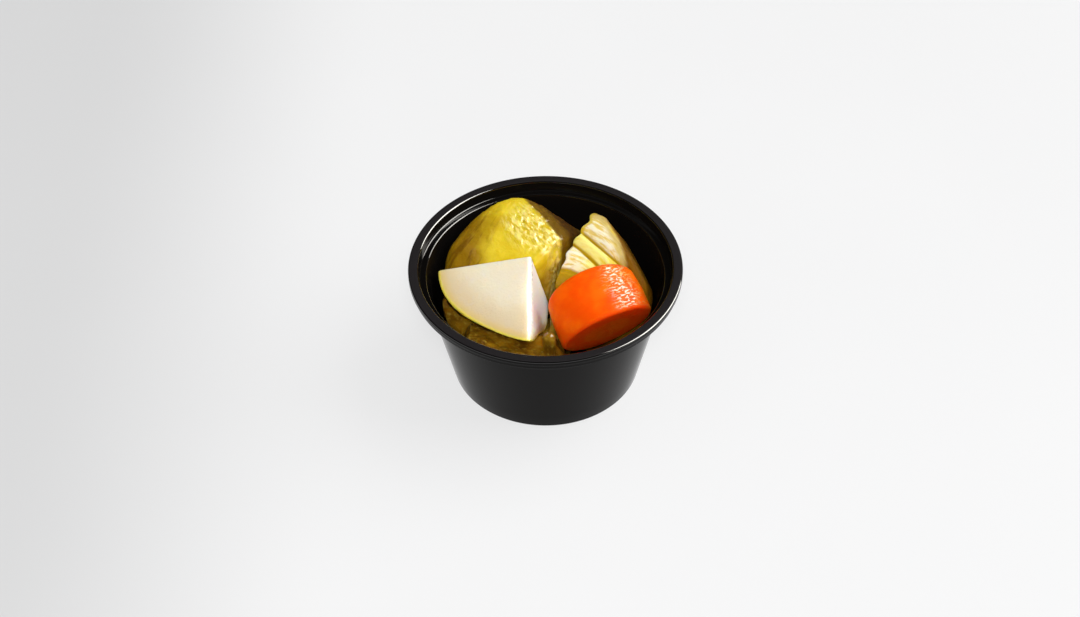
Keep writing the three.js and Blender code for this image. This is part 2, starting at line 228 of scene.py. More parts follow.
def plug(wire, shader, **wires):
    """Wires patterns to the shader's sockets. height is a relief in millimetres."""
    height = wires.pop("height", None)
    if height is not None:
        bump = wire.node("ShaderNodeBump", (), {"Height": height, "Distance": MM, "Strength": 1.0})
        wire.tree.links.new(bump.socket, shader.inputs["Normal"])
    for socket, value in wires.items():
        wire.tree.links.new(value.socket, shader.inputs[socket.replace("_", " ").title()])


def layered(colour, *layers):
    """A colour with others laid over it in turn, each as far as its mask says."""
    for mask, over in layers:
        colour = mask.mix(colour, over)
    return colour


def wear(piece, material):
    piece.data.materials.clear()
    piece.data.materials.append(material)


# %% [markdown]
# ## Making solids
# Every piece starts as points and faces in millimetres. The object stays at the origin, and its place
# is in its mesh, as the CAD pieces have it.

# %% Mesh helpers
def make_piece(name, points, faces=()):
    mesh = bpy.data.meshes.new(name)
    mesh.from_pydata((np.asarray(points) * MM).tolist(), [], [tuple(face) for face in faces])
    mesh.shade_smooth()
    piece = bpy.data.objects.new(name, mesh)
    scene.collection.objects.link(piece)
    return piece


def applied(piece):
    """The piece with its modifiers turned into plain mesh."""
    bpy.context.view_layer.update()
    evaluated = piece.evaluated_get(bpy.context.evaluated_depsgraph_get())
    mesh = bpy.data.meshes.new_from_object(evaluated)
    piece.modifiers.clear()
    old, piece.data = piece.data, mesh
    bpy.data.meshes.remove(old)
    return piece


def mend(piece, gap=0.001):
    """Doubles merged and faces turned outwards."""
    work = bmesh.new()
    work.from_mesh(piece.data)
    bmesh.ops.remove_doubles(work, verts=work.verts, dist=gap * MM)
    bmesh.ops.dissolve_degenerate(work, edges=work.edges, dist=gap * MM)
    bmesh.ops.recalc_face_normals(work, faces=work.faces)
    work.to_mesh(piece.data)
    work.free()
    piece.data.shade_smooth()
    return piece


def add_modifier(piece, kind, **settings):
    modifier = piece.modifiers.new(kind.lower(), kind)
    for name, value in settings.items():
        setattr(modifier, name, value)


def store(piece, name, values):
    attribute = piece.data.attributes.new(name, "FLOAT", "POINT")
    attribute.data.foreach_set("value", np.asarray(values, np.float32))


def points_of(piece):
    flat = np.empty(len(piece.data.vertices) * 3, np.float32)
    piece.data.vertices.foreach_get("co", flat)
    return flat.reshape(-1, 3).astype(float) / MM


def move_points(piece, points):
    piece.data.vertices.foreach_set("co", (points * MM).astype(np.float32).ravel())
    piece.data.update()


def finish_piece(piece, node, material):
    wear(piece, material)
    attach(piece, "root")
    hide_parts(node)
    low, high = (end(points_of(piece), axis=0).round(1) for end in (np.min, np.max))
    print(piece.name, len(piece.data.polygons), "faces,", low, "to", high)


# %% [markdown]
# ## Geometry Nodes helpers
# A tree gets its sizes as named inputs. Each is set on the modifier by the socket's identifier before
# the object is evaluated for the first time, and the result is then made a plain mesh.

# %% Tree helpers
def new_tree(name, kind, *titles):
    """A Geometry Nodes tree with inputs for a geometry, these numbers of one kind and a material."""
    tree = bpy.data.node_groups.new(name, "GeometryNodeTree")
    numbers = [(title, "INPUT", kind) for title in titles]
    for title, way, what in (("Geometry", "INPUT", "Geometry"), *numbers,
                             ("Material", "INPUT", "Material"), ("Geometry", "OUTPUT", "Geometry")):
        tree.interface.new_socket(title, in_out=way, socket_type="NodeSocket" + what)
    source = tree.nodes.new("NodeGroupInput")
    given = {socket.name: Wire(tree, socket) for socket in source.outputs if socket.name}
    return tree, Wire(tree), given


def close_tree(wire, given, geometry):
    """The tree's end: real geometry with its material."""
    realized = wire.node("GeometryNodeRealizeInstances", (), {0: geometry})
    dressed = wire.node("GeometryNodeSetMaterial", (), {0: realized, "Material": given["Material"]})
    end = wire.tree.nodes.new("NodeGroupOutput")
    wire.tree.links.new(dressed.socket, end.inputs[0])


def run_tree(piece, tree, **values):
    modifier = piece.modifiers.new(tree.name, "NODES")
    modifier.node_group = tree
    for item in tree.interface.items_tree:
        key = item.name.replace(" ", "_")
        if item.in_out == "INPUT" and key in values:
            modifier[item.identifier] = values[key]
    return applied(piece)


# %% [markdown]
# ## The floor
# A pale sweep with no edge in sight, which isn't part of the object. It also glows, so that the
# shadows stay as light as in the photo, and less at the left, where the photo falls off to grey.

# %% Floor
FLOOR_HALF = 4000.0
FLOOR_GREYS = (0.19, 0.21)
FLOOR_GLOW = 0.645
FLOOR_LEFT_GLOW = 0.71  # as a share of the glow at the right
FLOOR_FADE = (-150.0, -50.0)


def floor_finish():
    material, wire, shader, place = new_finish(
        "floor", roughness=0.8, specular_ior_level=0.0, emission_strength=FLOOR_GLOW)
    right = place.apart()[0].step(*FLOOR_FADE)
    grey, pale = ((value, value, value) for value in FLOOR_GREYS)
    plug(wire, shader, base_color=wire.noise(place, 0.01).mix(grey, pale),
         emission_color=right.mix((FLOOR_LEFT_GLOW,) * 3, (1.0, 1.0, 1.0)))
    return material


corners = [(-1, -1), (1, -1), (1, 1), (-1, 1)]
floor = make_piece("floor", [(x * FLOOR_HALF, y * FLOOR_HALF, 0.0) for x, y in corners], [(0, 1, 2, 3)])
wear(floor, floor_finish())

# %% [markdown]
# ## The turning tree
# The cup and the carrot are both turned shapes. One tree turns any row of profile points round the
# upright axis: it lays a grid with a column for each side and a row for each profile point, and moves
# every corner of the grid to its place on the turned surface.

# %% Turning tree
def turning_tree():
    tree, wire, given = new_tree("Turn Profile", "Int", "Sides")
    profile = given["Geometry"]
    count = wire.node("GeometryNodeAttributeDomainSize", {"component": "MESH"}, {0: profile})
    grid = wire.node("GeometryNodeMeshGrid", (), {
        "Vertices X": given["Sides"] + 1, "Vertices Y": count})
    index = wire.node("GeometryNodeInputIndex")
    row = wire.sum("MODULO", index, count)
    column = wire.sum("FLOOR", index / count)
    corner = wire.node("GeometryNodeSampleIndex", {"data_type": "FLOAT_VECTOR"}, {
        0: profile, 1: wire.node("GeometryNodeInputPosition"), "Index": row})
    radius, _, height = corner.apart()
    angle = column / given["Sides"] * (2 * pi)
    place = wire.together(radius * wire.sum("COSINE", angle), radius * wire.sum("SINE", angle), height)
    moved = wire.node("GeometryNodeSetPosition", (), {"Geometry": grid, "Position": place})
    closed = wire.node("GeometryNodeMergeByDistance", (), {"Geometry": moved, "Distance": 0.002 * MM})
    close_tree(wire, given, closed)
    return tree


TURNING = turning_tree()


def turned(name, profile, sides):
    """A closed solid turned from radii and heights in millimetres."""
    piece = make_piece(name, [(radius, 0, height) for radius, height in profile])
    return mend(run_tree(piece, TURNING, Sides=sides), gap=0.002)


def arc(radius, height, round_size, start, end, steps=6):
    """A quarter-round corner of a profile, between two headings in degrees."""
    turns = np.radians(np.linspace(start, end, steps + 1))
    return [(radius + round_size * cos(turn), height + round_size * sin(turn)) for turn in turns]


def line(start, end, steps):
    """Points along a straight stretch of a profile, without its two ends."""
    start, way = np.array(start), np.array(end) - np.array(start)
    return [tuple(start + way * step / steps) for step in range(1, steps)]


# %% [markdown]
# ## The cup
# A thin cup of moulded black plastic, with a ring to stand on, a ledge to stack on and a folded rim
# with a flat satin top. Its profile has the CAD cup's sizes, with rounder corners.

# %% Cup shape
CUP_HEIGHT = 36.2
RIM_RADIUS = 37.2
RIM_BAND = 2.75
RIM_CORNER = 0.45
RIM_PLATE = 1.1
BEAD_DEPTH = 1.5
BEAD_STEP = 0.45
SKIRT_DEPTH = 2.9
SKIRT_WALL = 0.9
SKIRT_CORNER = 0.25
COLLAR_WALL = 0.75
COLLAR_LEAN = 0.3
LEDGE_DEPTH = 3.0
LEDGE_RADIUS = 32.35
LEDGE_PLATE = 0.8
LEDGE_ROUND = 0.35
WALL = 1.0
FOOT_RADIUS = 26.1
FOOT_CORNER = 0.8
FOOT_RING = 2.2
FOOT_RECESS = 0.7
FOOT_SLANT = 0.6
FLOOR_HEIGHT = 1.8
FLOOR_ROUND = 1.5
WALL_SLOPE = (LEDGE_RADIUS + WALL - FOOT_RADIUS) / (CUP_HEIGHT - LEDGE_DEPTH)


def inner_radius(height):
    return FOOT_RADIUS - WALL + WALL_SLOPE * height


def cup_profile():
    ledge = CUP_HEIGHT - LEDGE_DEPTH
    under_ledge = ledge - LEDGE_PLATE
    rim_inner = RIM_RADIUS - RIM_BAND
    under_rim = CUP_HEIGHT - RIM_PLATE
    collar_foot = rim_inner - COLLAR_LEAN
    collar_outer = rim_inner + COLLAR_WALL
    skirt_outer = RIM_RADIUS - BEAD_STEP
    skirt_inner = skirt_outer - SKIRT_WALL
    skirt_foot = CUP_HEIGHT - SKIRT_DEPTH
    bead_foot = CUP_HEIGHT - BEAD_DEPTH
    ring_outer = FOOT_RADIUS - FOOT_CORNER
    ring_inner = ring_outer - FOOT_RING
    recess = ring_inner - FOOT_SLANT
    wall_top = inner_radius(under_ledge) + WALL
    wall_foot = FLOOR_HEIGHT + FLOOR_ROUND
    floor_edge = inner_radius(FLOOR_HEIGHT) - FLOOR_ROUND
    return [
        (0, FOOT_RECESS),
        *line((0, FOOT_RECESS), (recess, FOOT_RECESS), 4),
        (recess - 0.1, FOOT_RECESS),
        (recess + 0.05, FOOT_RECESS - 0.1),
        (ring_inner - 0.1, 0.05),
        (ring_inner + 0.1, 0),
        *arc(ring_outer, FOOT_CORNER, FOOT_CORNER, -90, -12, 8),
        *line((FOOT_RADIUS, FOOT_CORNER), (wall_top, under_ledge), 8),
        (wall_top, under_ledge),
        (collar_outer - 0.1, under_ledge),
        (collar_outer, under_ledge + 0.1),
        (collar_outer, under_rim),
        (skirt_inner, under_rim),
        (skirt_inner, skirt_foot + 0.15),
        (skirt_inner + 0.15, skirt_foot),
        *arc(skirt_outer - SKIRT_CORNER, skirt_foot + SKIRT_CORNER, SKIRT_CORNER, -90, 0, 4),
        (skirt_outer, bead_foot - 0.35),
        (skirt_outer + 0.06, bead_foot - 0.2),
        (RIM_RADIUS - 0.12, bead_foot - 0.02),
        (RIM_RADIUS, bead_foot + 0.15),
        *arc(RIM_RADIUS - RIM_CORNER, CUP_HEIGHT - RIM_CORNER, RIM_CORNER, 0, 90),
        *line((RIM_RADIUS - RIM_CORNER, CUP_HEIGHT), (rim_inner + RIM_CORNER, CUP_HEIGHT), 4),
        *arc(rim_inner + RIM_CORNER, CUP_HEIGHT - RIM_CORNER, RIM_CORNER, 90, 180),
        (collar_foot + 0.02, ledge + 0.25),
        (collar_foot - 0.1, ledge + 0.07),
        (collar_foot - 0.3, ledge),
        *arc(LEDGE_RADIUS + LEDGE_ROUND, ledge - LEDGE_ROUND, LEDGE_ROUND, 90, 168, 4),
        *line((LEDGE_RADIUS, ledge - LEDGE_ROUND), (inner_radius(wall_foot), wall_foot), 8),
        *arc(floor_edge, wall_foot, FLOOR_ROUND, -10, -90, 8),
        *line((floor_edge, FLOOR_HEIGHT), (0, FLOOR_HEIGHT), 5),
        (0, FLOOR_HEIGHT),
    ]


cup = turned("cup_shell", cup_profile(), sides=192)

# %% [markdown]
# The plastic is black with a fine grain, glossy all over but for the rim's flat top, which is satin. A
# clear coat on its two rounded edges, the rim's and the ledge's, catches a bright line there.

# %% Cup finish
BLACK_PLASTIC = (0.0028, 0.0024, 0.0022)
SATIN_PLASTIC = (0.0135, 0.012, 0.0125)
EDGE_BAND = (-0.5, -0.35)  # where the shine of an edge sets in, from the height of the edge


def cup_finish():
    material, wire, shader, place = new_finish("black_plastic", ior=1.14, coat_roughness=0.06, coat_ior=1.7)
    from_rim = place.apart()[2] - CUP_HEIGHT
    from_ledge = from_rim + LEDGE_DEPTH
    top = from_rim.step(-0.06, -0.01)
    rim_line = from_rim.step(*EDGE_BAND)
    ledge_line = from_ledge.step(*EDGE_BAND) * from_ledge.step(0.2, 0.05)
    grain = wire.noise(place, 2.2, detail=3)
    plug(wire, shader,
         base_color=top.mix(BLACK_PLASTIC, SATIN_PLASTIC),
         roughness=0.09 + 0.2 * top + 0.05 * grain,
         coat_weight=(1 - top) * wire.sum("MAXIMUM", rim_line, ledge_line * 0.55),
         height=(0.003 + 0.006 * top) * wire.noise(place, 5.0))
    return material


finish_piece(cup, "cup", cup_finish())

# %% [markdown]
# ## The radish
# An eighth of a round white root: three flat knife cuts meet at its middle, and its outer side keeps
# a thin yellow skin. Each cut is a fan of rows from the middle, so that all four sides share their
# edge points. Brine has softened the ridge between the two cuts in front, and left the others crisp.
# A bevel has one width and would be held back by the narrow ends of the fans. So every point is moved
# along its ray from a place inside, to a blend of the four sides that is softer along the ridge.

# %% Radish shape
RADISH_RADIUS = 26.6
RADISH_CORNER = np.array((-3.9, 3.4, 36.4))
RADISH_TILT = (16.5, -15.5)
RADISH_FLAT_ACROSS = 0.1
RADISH_FLAT_BELOW = 0.19
RADISH_LEAN = tan(radians(5.0))
RADISH_STEPS = 24
RADISH_INSIDE = (8.0, 9.0, 7.0)  # along the left, front and lower edges
RADISH_SOFT_RIDGE = 6.5  # a greater number gives a sharper edge
RADISH_CRISP_CORNER = 36.0
RADISH_CORNER_REACH = 4.0
RADISH_CRISP_EDGE = 42.0
RADISH_PEAK = 1.5 * sqrt(3)  # brings the greatest value of part * front ** 2 to 1
RAY_REACH = 60.0
RAY_HALVINGS = 30

tilts = (Matrix.Rotation(radians(turn), 3, axis) for turn, axis in zip(RADISH_TILT, "XY"))
RADISH_AXES = np.array(next(tilts) @ next(tilts))


def radish_skin(parts):
    """Distance from the middle to the skin, for rows of a direction's parts along the edges."""
    left, front, below = np.clip(parts, 0, None).T
    flattening = RADISH_FLAT_ACROSS * left + RADISH_FLAT_BELOW * below
    return RADISH_RADIUS * (1 - RADISH_PEAK * front ** 2 * flattening)


def radish_points(parts, reach):
    """Points this far from the middle, for directions along the left, front and lower edges."""
    left, front, below = parts.T
    local = np.stack([-left - below * RADISH_LEAN, -front, -below], axis=1) * reach[:, None]
    return local @ RADISH_AXES.T + RADISH_CORNER


def radish_parts(points):
    """How far points lie from the middle along the left, front and lower edges."""
    local = (points - RADISH_CORNER) @ RADISH_AXES
    left = -local[:, 0] + local[:, 2] * RADISH_LEAN
    return np.stack([left, -local[:, 1], -local[:, 2]], axis=1)


def under_skin(points):
    """How deep points lie under the skin."""
    parts = radish_parts(points)
    distance = np.linalg.norm(parts, axis=1)
    return radish_skin(parts / np.maximum(distance, 1e-6)[:, None]) - distance


def skin_distance(start, directions):
    """The distance along each ray to the skin, by halving."""
    near, far = np.zeros(len(directions)), np.full(len(directions), RAY_REACH)
    for _ in range(RAY_HALVINGS):
        half = (near + far) / 2
        inside = under_skin(start + directions * half[:, None]) > 0
        near, far = np.where(inside, half, near), np.where(inside, far, half)
    return near


def soften_radish(points):
    """The points moved along their rays from a place inside, onto a rounded blend of the four sides."""
    left, front, below = RADISH_INSIDE
    inside = RADISH_CORNER + RADISH_AXES @ np.array([-left - below * RADISH_LEAN, -front, -below])
    directions = points - inside
    directions /= np.linalg.norm(directions, axis=1)[:, None]
    sides = ((0, 0, 1), (1, 0, -RADISH_LEAN), (0, 1, 0))
    normals = [RADISH_AXES @ np.array(side, float) for side in sides]
    top, narrow, back = (np.maximum(directions @ normal, 1e-9) / (normal @ (RADISH_CORNER - inside))
                         for normal in normals)
    skin = 1 / skin_distance(inside, directions)
    plain = inside + directions / np.max([top, narrow, back, skin], axis=0)[:, None]
    ridge_place = radish_parts(plain)[:, 1]
    softness = RADISH_SOFT_RIDGE + RADISH_CRISP_CORNER * np.exp(-(ridge_place / RADISH_CORNER_REACH) ** 2)
    ridge = (top ** softness + narrow ** softness) ** (1 / softness)
    crisp = RADISH_CRISP_EDGE
    return inside + directions * ((ridge ** crisp + back ** crisp + skin ** crisp) ** (-1 / crisp))[:, None]


def radish_shape():
    steps = RADISH_STEPS
    parts, reach, faces, seen = [], [], [], {}

    def corner(left, front, below, share=1.0):
        direction = np.array([left, front, below], float)
        direction /= np.linalg.norm(direction)
        key = tuple(np.round(direction * share * steps * 100).astype(int))
        if key not in seen:
            seen[key] = len(parts)
            parts.append(direction)
            reach.append(float(radish_skin(direction[None])[0]) * share)
        return seen[key]

    grid = [[corner(steps - i - j, i, j) for j in range(steps - i + 1)] for i in range(steps)]
    grid.append([corner(0, steps, 0)])
    for i in range(steps):
        for j in range(steps - i):
            faces.append((grid[i][j], grid[i][j + 1], grid[i + 1][j]))
            if j < steps - i - 1:
                faces.append((grid[i][j + 1], grid[i + 1][j + 1], grid[i + 1][j]))
    edges = [lambda k: (steps - k, k, 0), lambda k: (0, steps - k, k), lambda k: (k, 0, steps - k)]
    for edge in edges:
        for k in range(steps):
            for ring in range(1, steps):
                inner, outer = ring / steps, (ring + 1) / steps
                faces.append((corner(*edge(k), inner), corner(*edge(k), outer),
                              corner(*edge(k + 1), outer), corner(*edge(k + 1), inner)))
            faces.append((corner(1, 0, 0, 0.0),
                          corner(*edge(k), 1 / steps), corner(*edge(k + 1), 1 / steps)))
    piece = make_piece("radish", radish_points(np.array(parts), np.array(reach)), faces)
    mend(piece)
    add_modifier(piece, "SUBSURF", subdivision_type="SIMPLE", levels=2, render_levels=2)
    applied(piece)
    move_points(piece, soften_radish(points_of(piece)))
    piece.data.shade_smooth()
    return piece


radish = radish_shape()

# %% [markdown]
# The flesh is tan close to its skin, which is painted shade. It is wet along its ridge, and palest on the
# narrow cut, which is painted light. How far a point lies from each is worked out once for every corner
# of the mesh, and kept with it as attributes that the finish reads.

# %% Where a point lies in the radish
skin_depth = under_skin(points_of(radish))
parts = radish_parts(points_of(radish))
store(radish, "skin_depth", skin_depth)
store(radish, "from_narrow", parts[:, 0])
store(radish, "from_ridge", np.hypot(*parts[:, ::2].T))
print("radish: deepest point under the skin", round(float(skin_depth.max()), 1), "mm")

# %% Radish finish
RADISH_PALE = (0.76, 0.69, 0.53)
# painted shade: the flesh darker tan towards its skin
RADISH_SHADE_TAN = (0.67, 0.54, 0.34)
# painted light: the narrow cut paler and greener than the rest of the flesh
RADISH_NARROW_LIT = (0.88, 0.97, 0.87)
RADISH_RIND = (0.70, 0.50, 0.18)
RADISH_SKIN = (0.92, 0.68, 0.09)


def radish_finish():
    material, wire, shader, place = new_finish(
        "radish_flesh", subsurface_weight=0.9, subsurface_scale=4.0 * MM, subsurface_radius=(1.0, 0.8, 0.5),
        specular_ior_level=0.3, coat_roughness=0.14, coat_ior=1.4)
    depth, narrow, ridge = wire.read("skin_depth", "from_narrow", "from_ridge")
    skin = depth.step(1.1, 0.35)
    rind = depth.step(3.4, 0.8)
    cloud = wire.noise(place, 0.12, detail=3)
    pores = wire.noise(place, 1.6)
    # painted shade: darker tan where the flesh nears the skin at its left and lower edges
    painted_shade = (depth + (cloud - 0.5) * 8.0).step(13.0, 2.0)
    # the narrow cut's paler colour below is painted light
    plug(wire, shader,
         base_color=layered(painted_shade.mix(RADISH_PALE, RADISH_SHADE_TAN), (narrow.step(1.4, 0.2), RADISH_NARROW_LIT),
                            (rind * 0.8, RADISH_RIND), (skin, RADISH_SKIN)),
         roughness=0.28 + 0.16 * pores,
         coat_weight=ridge.step(3.2, 2.0) * wire.noise(place, 1.1, detail=3).step(0.46, 0.56),
         height=0.12 * pores + 0.14 * wire.noise(place, 0.5))
    return material


finish_piece(radish, "radish_wedge", radish_finish())

# %% [markdown]
# ## The carrot
# A short length of a thick root. It is turned like wood: the profile gives its two cut faces and its
# round edges, and it then gets the slight unevenness of a real root, with fine furrows across it.

# %% Carrot shape
CARROT_RADIUS = 13.3
CARROT_LENGTH = 12.8
CARROT_TAPER = 0.5
CARROT_SKEW = (0.06, 0.18)
CARROT_BACK_ROUND = 1.9
CARROT_FRONT_ROUND = 1.0
CARROT_FRONT = (16.8, -9.9, 21.0)
CARROT_HEADING = -64.6
CARROT_SLOPE = 26.9
CARROT_SIDES = 200
CARROT_UNEVENNESS = 0.16
CARROT_WAVES = [(3, 1.0, 0, 0.5), (5, 2.6, 3, 0.35)]  # waves round it, their start, twist and depth
CARROT_FRAME = Matrix.Translation(CARROT_FRONT) @ (
    Matrix.Rotation(radians(CARROT_HEADING), 4, "Z") @ Matrix.Rotation(radians(90 + CARROT_SLOPE), 4, "Y"))


def carrot_profile(margin=0.0):
    back = CARROT_RADIUS - CARROT_TAPER + margin
    front = CARROT_RADIUS + margin
    length = CARROT_LENGTH + margin
    back_corner = arc(back - CARROT_BACK_ROUND, CARROT_BACK_ROUND - length, CARROT_BACK_ROUND, -90, 0, 8)
    front_corner = arc(front - CARROT_FRONT_ROUND, margin - CARROT_FRONT_ROUND, CARROT_FRONT_ROUND, 0, 90)
    middle = (front, -CARROT_LENGTH / 2)
    return [
        (0, -length), *line((0, -length), back_corner[0], 16), *back_corner,
        *line(back_corner[-1], middle, 16), middle, *line(middle, front_corner[0], 16), *front_corner,
        *line(front_corner[-1], (0, margin), 20), (0, margin),
    ]


def lay_carrot(piece, unevenness=0.0):
    points = points_of(piece)
    below, right, height = points.T
    angle = np.arctan2(right, below)
    share = -height / CARROT_LENGTH
    swell = unevenness * sum(depth * (np.sin(waves * angle + start + twist * share) - 1)
                             for waves, start, twist, depth in CARROT_WAVES)
    side = np.clip(np.hypot(below, right) / CARROT_RADIUS, 0, 1) ** 4
    scale = 1 + swell * side / CARROT_RADIUS
    points = np.stack([below * scale, right * scale,
                       height + share * (CARROT_SKEW[0] * right + CARROT_SKEW[1] * below)], axis=1)
    matrix = np.array(CARROT_FRAME)
    move_points(piece, points @ matrix[:3, :3].T + matrix[:3, 3])
    return piece


carrot = lay_carrot(turned("carrot", carrot_profile(), CARROT_SIDES), CARROT_UNEVENNESS)

# %% [markdown]
# The skin is pale in flakes along one band, which is where the wet glints lie as well: flaked skin with a
# painted highlight laid on it. The cut is redder, with a lighter core. All of it is wired in the carrot's
# own axes, found from its place.

# %% Carrot finish
CARROT_SKIN = (0.86, 0.09, 0.0015), (0.97, 0.145, 0.003)
# pale flakes of skin, tinted as a painted highlight along the band where the glints lie
CARROT_PALE_FLAKE_GLINT = (0.72, 0.50, 0.19)
CARROT_CUT = (1.0, 0.07, 0.003)
CARROT_CORE = (1.0, 0.10, 0.004)


def carrot_finish():
    material, wire, shader, place = new_finish(
        "carrot_flesh", subsurface_weight=1.0, subsurface_scale=5.0 * MM,
        subsurface_radius=(1.0, 0.3, 0.08), specular_ior_level=0.03, coat_roughness=0.05, coat_ior=1.42)
    own = wire.node("ShaderNodeMapping", {"vector_type": "TEXTURE"}, {
        "Vector": place, "Location": CARROT_FRONT, "Rotation": CARROT_FRAME.to_euler()})
    below, right, height = own.apart()
    radius = below.hypot(right)
    cut = height.step(-1.3, -0.15)
    core = radius.step(7.4, 6.2) * cut
    around = wire.sum("ARCTAN2", right, 0 - below) * CARROT_RADIUS
    mottle = wire.noise(own, 0.16, detail=3)
    flakes = wire.noise(wire.together(around * 0.7, height * 2.3, radius), 1.0).step(0.525, 0.565)
    furrows = wire.noise(wire.together(around * 0.2, height * 0.6, radius * 0.3), 1.0)
    grain = wire.noise(own, 1.3, detail=3)
    patches = wire.noise(own, 0.4).step(0.36, 0.5)
    # the band round the carrot where the glints lie; its pale flakes are a painted highlight
    glint_band = (around - 5.3 + (mottle - 0.5) * 8.0).size().step(7.0, 2.5)
    pale_flake_glint = glint_band * flakes * (1 - cut)
    plug(wire, shader,
         base_color=layered(mottle.step(0.35, 0.7).mix(*CARROT_SKIN), (pale_flake_glint * 0.5, CARROT_PALE_FLAKE_GLINT),
                            (cut, core.mix(CARROT_CUT, CARROT_CORE))),
         roughness=0.3 + 0.1 * grain,
         coat_weight=flakes * patches * (0.15 + 0.8 * glint_band) * (1 - 0.7 * cut),
         height=0.03 * flakes + 0.2 * furrows)
    return material


finish_piece(carrot, "carrot_chunk", carrot_finish())

# %% [markdown]
# ## Rounded chunks
# Pressed leaves have flat sides that all run into each other. Every ray from the middle of such a
# chunk stops at a smooth blend of its sides: the nearest side counts most, and close to an edge two
# sides count together, which rounds it.

# %% Rounded chunks
WALL_GAP = 0.5
PIECE_GAP = 0.35


def ball(detail):
    """Unit directions and faces of an even ball."""
    work = bmesh.new()
    bmesh.ops.create_icosphere(work, subdivisions=detail, radius=1.0)
    directions = np.array([vertex.co for vertex in work.verts])
    faces = [tuple(vertex.index for vertex in face.verts) for face in work.faces]
    work.free()
    return directions / np.linalg.norm(directions, axis=1)[:, None], faces


def wall_limit(middle, directions):
    """One over the distance along each ray to the cup's inner wall, less the gap."""
    flat = directions[:, :2]
    reach = inner_radius(middle[2]) - WALL_GAP
    a = (flat ** 2).sum(1) - (WALL_SLOPE * directions[:, 2]) ** 2
    b = flat @ middle[:2] - WALL_SLOPE * directions[:, 2] * reach
    c = (middle[:2] ** 2).sum() - reach ** 2
    distance = (np.sqrt(np.maximum(b * b - a * c, 0)) - b) / a
    return np.where(distance > 0, 1 / np.where(distance > 0, distance, 1), 0)


def chunk(name, middle, sides, sharpness, detail):
    """A chunk between the wall, the floor and sides, each a heading, a rise and a point on it."""
    middle = np.array(middle, float)
    directions, faces = ball(detail)
    bottom = (0, -90, 0, 0, FLOOR_HEIGHT + WALL_GAP)
    limits = [wall_limit(middle, directions)]
    for heading, rise, *point in (bottom, *sides):
        normal = facing(heading, rise)
        limits.append(np.maximum(directions @ normal, 0) / (normal @ (np.array(point) - middle)))
    distance = (np.array(limits) ** sharpness).sum(0) ** (-1 / sharpness)
    return make_piece(name, middle + directions * distance[:, None], faces)


# %% [markdown]
# ## Leaf relief
# A pickled leaf swells in lumps, long soft folds fan out from where it is gathered, and where it is
# pressed the skin crimps into fine wrinkles. One tree cuts all three into any chunk, along its
# normals. Lift gives a little of that depth back, and the gaps between the pieces leave room for it.
# Wrinkles have rounded backs and narrow valleys, as a noise folded over at its middle value gives.

# %% Leaf relief tree
SEED_SHIFT = (31.0, 17.0, 7.0)  # how far the noise moves on from seed to seed
SEED_ACROSS = 11.0
WANDER_FINENESS = 0.16


def relief_tree():
    fanned_layers = (f"{layer} {part}" for layer in ("Fold", "Wrinkle")
                     for part in ("Depth", "Pitch", "Length", "Fan X", "Fan Y"))
    tree, wire, given = new_tree(
        "Leaf Relief", "Float", "Lift", "Swell Depth", "Swell Size", *fanned_layers,
        "Zone X", "Zone Y", "Zone Size", "Calm", "Seed")
    place = wire.node("GeometryNodeInputPosition").scaled(1 / MM)
    shift = wire.together(*(given["Seed"] * step for step in SEED_SHIFT))
    seeded = wire.node("ShaderNodeVectorMath", {"operation": "ADD"}, {0: place, 1: shift})
    x, y, z = place.apart()
    wander = wire.noise(seeded, WANDER_FINENESS)

    def valleys(layer, bend, sharpness):
        across, out = fanned(x, y, given[layer + " Fan X"], given[layer + " Fan Y"])
        across = across + wander * bend + given["Seed"] * SEED_ACROSS
        length = given[layer + " Length"]
        lines = wire.together(across / given[layer + " Pitch"], out / length, z / length)
        ridge = (wire.noise(lines, 1.0, detail=2.5, roughness=0.55) * 2 - 1).size()
        return (1 - ridge.step(0.0, sharpness)) * given[layer + " Depth"]

    away = (x - given["Zone X"]).hypot(y - given["Zone Y"]) / given["Zone Size"]
    crimped = given["Calm"] + away.step(1.0, 0.45) * (1 - given["Calm"])
    swell = wire.noise(seeded, 1 / given["Swell Size"], detail=1) * given["Swell Depth"]
    folds = valleys("Fold", bend=7.0, sharpness=0.5)
    wrinkles = valleys("Wrinkle", bend=4.0, sharpness=0.4)
    depth = swell + folds + wrinkles * crimped - given["Lift"]
    inwards = wire.node("GeometryNodeInputNormal").scaled(depth * -MM)
    moved = wire.node("GeometryNodeSetPosition", (), {"Geometry": given["Geometry"], "Offset": inwards})
    close_tree(wire, given, moved)
    return tree


RELIEF = relief_tree()

# %% [markdown]
# ## The bundle
# The largest piece is a bundle of folded leaves that leans on the radish's back cut. Its folds fan
# out from behind its crown.

